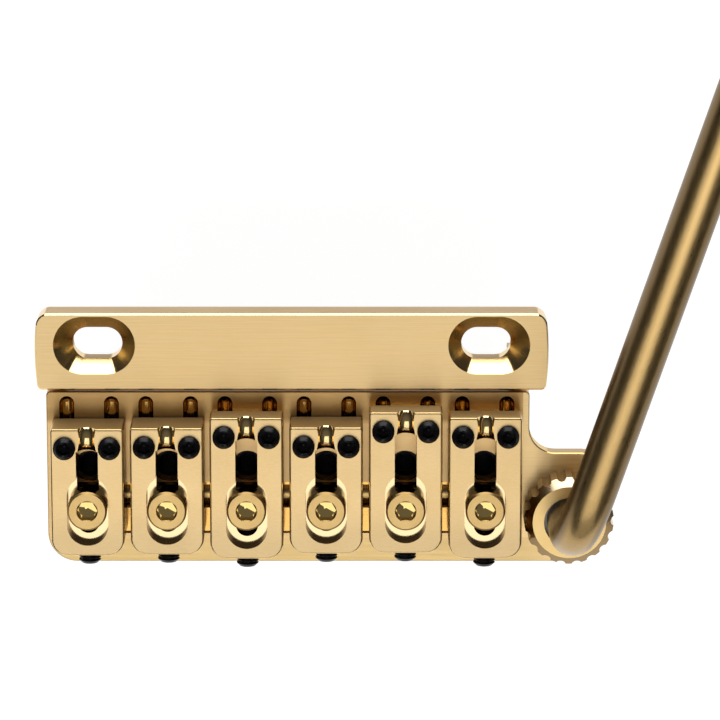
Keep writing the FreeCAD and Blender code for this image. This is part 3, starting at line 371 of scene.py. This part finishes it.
def turned_gold(name):
    material, place, facing = start_finish(name)
    head_edge = 0.0002
    low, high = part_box("clamp_screw_1")
    centre = (low + high) / 2
    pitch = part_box("clamp_screw_2")[0].x - low.x
    across = (place.part(0) - centre.x) / pitch + 0.5
    across = (across.sum("FRACT", across) - 0.5) * pitch
    ring = lathe_rings(place, across, place.part(1) - centre.y)
    cloud = place.cloud(400.0)
    face = facing.part(2).between(0.9, 0.97)
    face = face * place.part(2).between(high.z - head_edge * 2, high.z - head_edge)
    bevel = facing.part(2).between(0.5, 0.6) * facing.part(2).between(0.9, 0.8)
    worn = (ring * 0.5 + cloud * 0.5).between(*wear_range)
    colour = worn.blend(rgb(0.70, 0.47, 0.18), rgb(0.79, 0.56, 0.24))
    colour = face.blend(rgb(0.88, 0.63, 0.24), colour)
    colour = bevel.blend(colour, rgb(0.42, 0.27, 0.10))
    rough = 0.06 + face * (0.42 + (ring - 0.5) * 0.2) + bevel * 0.3
    return end_finish(material, colour, rough, ring * face)


give(turned_gold("turned_gold"), *[f"clamp_screw_{i}" for i in strings])


# Set screws. Black oxide socket set screws: two in each saddle's nose for height, and one in its tail for
# intonation. Each is a rolled thread with a cone point and a bevelled end that holds a hexagon socket.
def black_oxide(name):
    material, place, _ = start_finish(name)
    grain = place.cloud(5000.0)
    cloud = place.cloud(500.0)
    worn = (cloud * 0.5 + grain * 0.5).between(0.5, 0.8)
    colour = worn.blend(rgb(0.006, 0.006, 0.008), rgb(0.022, 0.022, 0.028))
    dull = {"Metallic": 0.3, "Specular IOR Level": 0.35}
    return end_finish(material, colour, 0.20 + grain * 0.2, grain, dull)


def set_screw_tree(material):
    """A turned rod made from a grid: its columns run round the screw, and its rows run from the middle of the
    point, up the thread, over the rim and down into the socket."""
    tree = bpy.data.node_groups.new("set_screw", "GeometryNodeTree")
    for size in ("Length", "Radius", "Point", "Bevel", "Flats", "Mouth", "Socket", "Pitch", "Thread"):
        tree.interface.new_socket(size, in_out="INPUT", socket_type="NodeSocketFloat")
    for vector in ("Place", "Turn"):
        tree.interface.new_socket(vector, in_out="INPUT", socket_type="NodeSocketVector")
    tree.interface.new_socket("Geometry", in_out="OUTPUT", socket_type="NodeSocketGeometry")
    tone = Tone(tree)
    given = tree.nodes.new("NodeGroupInput")
    size = {socket.name: Tone(tree, socket) for socket in given.outputs if socket.name}
    columns = 36
    rows = 150
    run_rows = 4
    floor_cone_share = 0.2
    weld_distance = 0.000001
    ends = {"point": 2, "cone": 8, "thread": 132, "bevel": 134, "rim": 137, "socket": 146, "floor": rows}
    grid = tone.node(
        "GeometryNodeMeshGrid", None,
        {"Size X": 1.0, "Size Y": 1.0, "Vertices X": columns + 1, "Vertices Y": rows + 1}, output="Mesh",
    )
    at = tone.node("GeometryNodeInputPosition")
    turn_share = at.part(0) + 0.5
    row = (at.part(1) + 0.5) * rows
    done = {}
    start = 0
    for stretch, end in ends.items():
        done[stretch] = row.between(start, end, "LINEAR")
        start = end
    cone_height = size["Radius"] - size["Point"]
    barrel = size["Length"] - cone_height - size["Bevel"]
    height = done["cone"] * cone_height + done["thread"] * barrel + done["bevel"] * size["Bevel"]
    height = height - done["rim"] * size["Mouth"] - done["socket"] * size["Socket"]
    height = height - done["floor"] * size["Flats"] * floor_cone_share
    side = turn_share * 6.0
    corner_angle = (side.sum("FRACT", side) - 0.5) * math.radians(60.0)
    hexagon = size["Flats"] * 0.5 / corner_angle.sum("COSINE", corner_angle)
    wave = height / size["Pitch"] + turn_share
    groove = abs(wave.sum("FRACT", wave) * 2.0 - 1.0) * size["Thread"]
    run_in = row.between(ends["cone"], ends["cone"] + run_rows, "LINEAR")
    run_out = row.between(ends["thread"] - run_rows, ends["thread"], "LINEAR")
    rim = size["Radius"] - size["Bevel"]
    radius = done["point"] * size["Point"] + done["cone"] * cone_height - groove * (run_in - run_out)
    radius = radius - done["bevel"] * size["Bevel"] + done["rim"] * (hexagon - rim) - done["floor"] * hexagon
    angle = turn_share * math.radians(360.0)
    spot = tone.node(
        "ShaderNodeCombineXYZ", None,
        {0: radius * angle.sum("COSINE", angle), 1: radius * angle.sum("SINE", angle), 2: height},
    )
    shaped = tone.node("GeometryNodeSetPosition", None, {"Geometry": grid, "Position": spot})
    welded = tone.node("GeometryNodeMergeByDistance", None, {"Geometry": shaped, "Distance": weld_distance})
    placed = tone.node(
        "GeometryNodeTransform", None,
        {"Geometry": welded, "Translation": size["Place"], "Rotation": size["Turn"]},
    )
    real = tone.node("GeometryNodeRealizeInstances", None, {"Geometry": placed})
    finished = tone.node("GeometryNodeSetMaterial", None, {"Geometry": real, "Material": material})
    tone.node("NodeGroupOutput", None, {"Geometry": finished})
    return tree


def set_screw(tree, name, body, values):
    """One screw in place of its plain solid."""
    sharp_angle = math.radians(35.0)
    maker = bpy.data.objects.new(f"{name}_maker", bpy.data.meshes.new(f"{name}_maker"))
    bpy.context.scene.collection.objects.link(maker)
    modifier = maker.modifiers.new("thread", "NODES")
    modifier.node_group = tree
    for socket in tree.interface.items_tree:
        if socket.in_out == "INPUT":
            modifier[socket.identifier] = values[socket.name]
    bpy.context.view_layer.update()
    mesh = bpy.data.meshes.new_from_object(maker.evaluated_get(bpy.context.evaluated_depsgraph_get()))
    bpy.data.objects.remove(maker)
    mesh.shade_smooth()
    mesh.set_sharp_from_angle(angle=sharp_angle)
    piece = bpy.data.objects.new(f"{name}_threaded", mesh)
    bpy.context.scene.collection.objects.link(piece)
    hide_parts(name)
    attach(piece, body)


screw_tree = set_screw_tree(black_oxide("black_oxide"))
screw_sizes = {
    "Bevel": 0.0004, "Flats": 0.0015, "Mouth": 0.00025, "Socket": 0.0014, "Pitch": 0.0005, "Thread": 0.00022,
}
height_point = 0.0004
intonation_point = 0.0008
turn_step = math.radians(17.0)
for i in strings:
    for side in ("bass", "treble"):
        low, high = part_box(f"height_screw_{i}_{side}")
        middle = (low + high) / 2
        set_screw(screw_tree, f"height_screw_{i}_{side}", f"height_body_{i}_{side}", {
            **screw_sizes, "Length": high.z - low.z, "Radius": (high.x - low.x) / 2, "Point": height_point,
            "Place": (middle.x, middle.y, low.z), "Turn": (0.0, 0.0, turn_step * i),
        })
    low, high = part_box(f"intonation_screw_{i}")
    middle = (low + high) / 2
    set_screw(screw_tree, f"intonation_screw_{i}", f"intonation_body_{i}", {
        **screw_sizes, "Length": high.y - low.y, "Radius": (high.x - low.x) / 2, "Point": intonation_point,
        "Place": (middle.x, high.y, middle.z), "Turn": (math.radians(90.0), 0.0, 0.0),
    })


# Arm sleeve and bush. A flanged sleeve goes up through the ear and is held by a ring nut. The arm turns in a
# plain plastic bush inside it.
give(turned_steel("sleeve_gold", rgb(0.78, 0.55, 0.25), 0.25), "arm_sleeve", "sleeve_ring_nut")


def moulded_plastic(name):
    material, place, _ = start_finish(name)
    grain_depth = 0.00001
    grain = place.cloud(3000.0)
    colour = grain.blend(rgb(0.74, 0.70, 0.60), rgb(0.82, 0.79, 0.70))
    return end_finish(material, colour, 0.4 + grain * 0.15, grain, {"Metallic": 0.0}, grain_depth)


give(moulded_plastic("moulded_plastic"), "arm_bush")


# Collar. A gold knob with flutes round its rim that screws down on the sleeve to pinch the bush. It is turned
# from brass rod, so fine rings show on its flat top. The flutes are milled, with painted shade on them and
# painted light that makes them palest on their front side.
def fluted_gold(name):
    material, place, facing = start_finish(name)
    low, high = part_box("arm_collar")
    centre = (low + high) / 2
    ring = lathe_rings(place, place.part(0) - centre.x, place.part(1) - centre.y)
    cloud = place.cloud(300.0)
    face = facing.part(2).between(0.9, 0.97)
    front = facing.part(1).between(0.2, 0.7)
    worn = (ring * 0.5 + cloud * 0.5).between(*wear_range)
    face_gold = worn.blend(rgb(0.88, 0.62, 0.26), rgb(0.95, 0.70, 0.32))
    # Painted shade on the flutes, and painted light on their front side.
    flute_light_and_shade_gold = front.blend(rgb(0.34, 0.23, 0.11), rgb(0.72, 0.56, 0.36))
    colour = face.blend(flute_light_and_shade_gold, face_gold)
    rough = 0.18 + face * (0.30 + (ring - 0.5) * 0.16) + front * 0.1
    return end_finish(material, colour, rough, ring * face)


give(fluted_gold("fluted_gold"), "arm_collar")


# Arm. A bent brass rod with a domed tip, brushed along its length and plated a shade darker than the plates.
# Its foot turns in the bush, and its other end is for the player's hand.
def brushed_rod(name, arm_turn):
    material, place, facing = start_finish(name)
    turn = (0.0, 0.0, arm_turn)
    rod_lines = (3600.0, 130.0, 3600.0)
    rod_clouds = (120.0, 60.0, 120.0)
    lines = place.noise(place.stretched(rod_lines, turn), 3.0, 0.6)
    cloud = place.noise(place.stretched(rod_clouds, turn), 3.0)
    worn = (lines * 0.6 + cloud * 0.4).between(*wear_range)
    worn = worn.blend(rgb(0.43, 0.285, 0.112), rgb(0.50, 0.335, 0.140))
    # Painted shade: the rod's flanks, facing sideways, take a much darker colour.
    shaded_flank = abs(facing.part(0) * math.cos(arm_turn) - facing.part(1) * math.sin(arm_turn))
    colour = shaded_flank.between(0.48, 0.80).blend(worn, rgb(0.21, 0.14, 0.065))
    rough = 0.28 + (lines - 0.5) * 0.14 + cloud * 0.04
    spread = {"Anisotropic": 0.4, "Anisotropic Rotation": 0.25}
    return end_finish(material, colour, rough, lines, spread)


arm_turn = math.radians(17.4)
arm_way = (math.sin(arm_turn), math.cos(arm_turn))
brushed_copy("arm", "arm_body", brushed_rod("brushed_rod", arm_turn), arm_way)


# Studio. A pale floor under the block, a broad soft lamp overhead with a brighter core, a low one behind, and
# a long low one beyond the front plate. The room is dim, so that the polished bevels pick up the lamps
# against something darker.
def floor_finish(name):
    material, place, _ = start_finish(name)
    tone = Tone(material.node_tree)
    camera_ray = tone.node("ShaderNodeLightPath", output="Is Camera Ray")
    glossy_ray = tone.node("ShaderNodeLightPath", output="Is Glossy Ray")
    through_ray = tone.node("ShaderNodeLightPath", output="Is Transmission Ray")
    shown = camera_ray.either(glossy_ray).either(through_ray)
    grain = place.cloud(900.0)
    pulp = grain.blend(rgb(0.76, 0.76, 0.76), rgb(0.82, 0.82, 0.82))
    paper = tone.node("ShaderNodeBsdfDiffuse", None, {"Color": pulp})
    white = tone.node("ShaderNodeEmission", None, {"Color": rgb(1.0, 1.0, 1.0), "Strength": 0.94})
    shaded = tone.node("ShaderNodeBsdfDiffuse", None, {"Color": rgb(0.28, 0.28, 0.28)})
    backdrop = tone.node("ShaderNodeAddShader", None, {0: white, 1: shaded})
    mixed = tone.node("ShaderNodeMixShader", None, {0: shown, 1: paper, 2: backdrop})
    tone.node("ShaderNodeOutputMaterial", None, {"Surface": mixed})
    return material


floor_mesh = bpy.data.meshes.new("floor")
reach = 0.9
floor_gap = 0.0002
level = cad_box[0].z - floor_gap
floor_mesh.from_pydata(
    [(-reach, -reach, level), (reach, -reach, level), (reach, reach, level), (-reach, reach, level)], [],
    [(0, 1, 2, 3)],
)
floor = bpy.data.objects.new("floor", floor_mesh)
floor_mesh.materials.append(floor_finish("floor_paper"))
bpy.context.scene.collection.objects.link(floor)

world = bpy.data.worlds.new("room")
world.use_nodes = True
world.node_tree.nodes.clear()
room = Tone(world.node_tree)
height = room.node("ShaderNodeTexCoord", output="Generated").part(2)
wall = height.between(0.35, 1.0).blend(rgb(0.035, 0.035, 0.037), rgb(0.14, 0.14, 0.14))
glow = room.node("ShaderNodeBackground", None, {"Color": wall})
room.node("ShaderNodeOutputWorld", None, {"Surface": glow})
bpy.context.scene.world = world


lamp_target = Vector((0.0, -0.012, 0.005))


def soft_lamp(name, distance, behind, aside, size, radiance):
    """A soft box at angles behind and beside the vertical, in degrees, with a face of this radiance."""
    lamp = bpy.data.lights.new(name, "AREA")
    lamp.shape = "RECTANGLE"
    lamp.size, lamp.size_y = size
    lamp.energy = radiance * math.pi * size[0] * size[1]
    holder = bpy.data.objects.new(name, lamp)
    lean = Matrix.Rotation(math.radians(aside), 4, "Y") @ Matrix.Rotation(math.radians(behind), 4, "X")
    off = Matrix.Translation((0.0, 0.0, distance))
    holder.matrix_world = Matrix.Translation(lamp_target) @ lean @ off
    holder.visible_camera = False
    bpy.context.scene.collection.objects.link(holder)


soft_lamp("overhead_lamp", 0.67, 31.0, -8.0, (0.66, 0.66), 1.25)
soft_lamp("overhead_core", 0.60, 19.0, 0.0, (0.24, 0.18), 1.4)
soft_lamp("back_lamp", 0.67, 73.0, -5.0, (0.60, 0.34), 0.5)
soft_lamp("front_lamp", 0.70, -79.0, 0.0, (0.70, 0.18), 5.0)

view_target = Vector((0.0093, -0.0020, 0.0045))
view_distance = 0.6
tilt = math.radians(13.0)
to_camera = Vector((0.0, math.sin(tilt), math.cos(tilt)))
up = Vector((0.0, math.cos(tilt), -math.sin(tilt)))
camera = bpy.data.cameras.new("camera")
camera.sensor_width = 36.0
camera.lens = 220.5
camera.clip_start = 0.01
camera_holder = bpy.data.objects.new("camera", camera)
turned = Matrix((Vector((1.0, 0.0, 0.0)), up, to_camera)).transposed().to_4x4()
camera_holder.matrix_world = Matrix.Translation(view_target + to_camera * view_distance) @ turned
bpy.context.scene.collection.objects.link(camera_holder)
bpy.context.scene.camera = camera_holder
bpy.context.scene.view_settings.view_transform = "Standard"
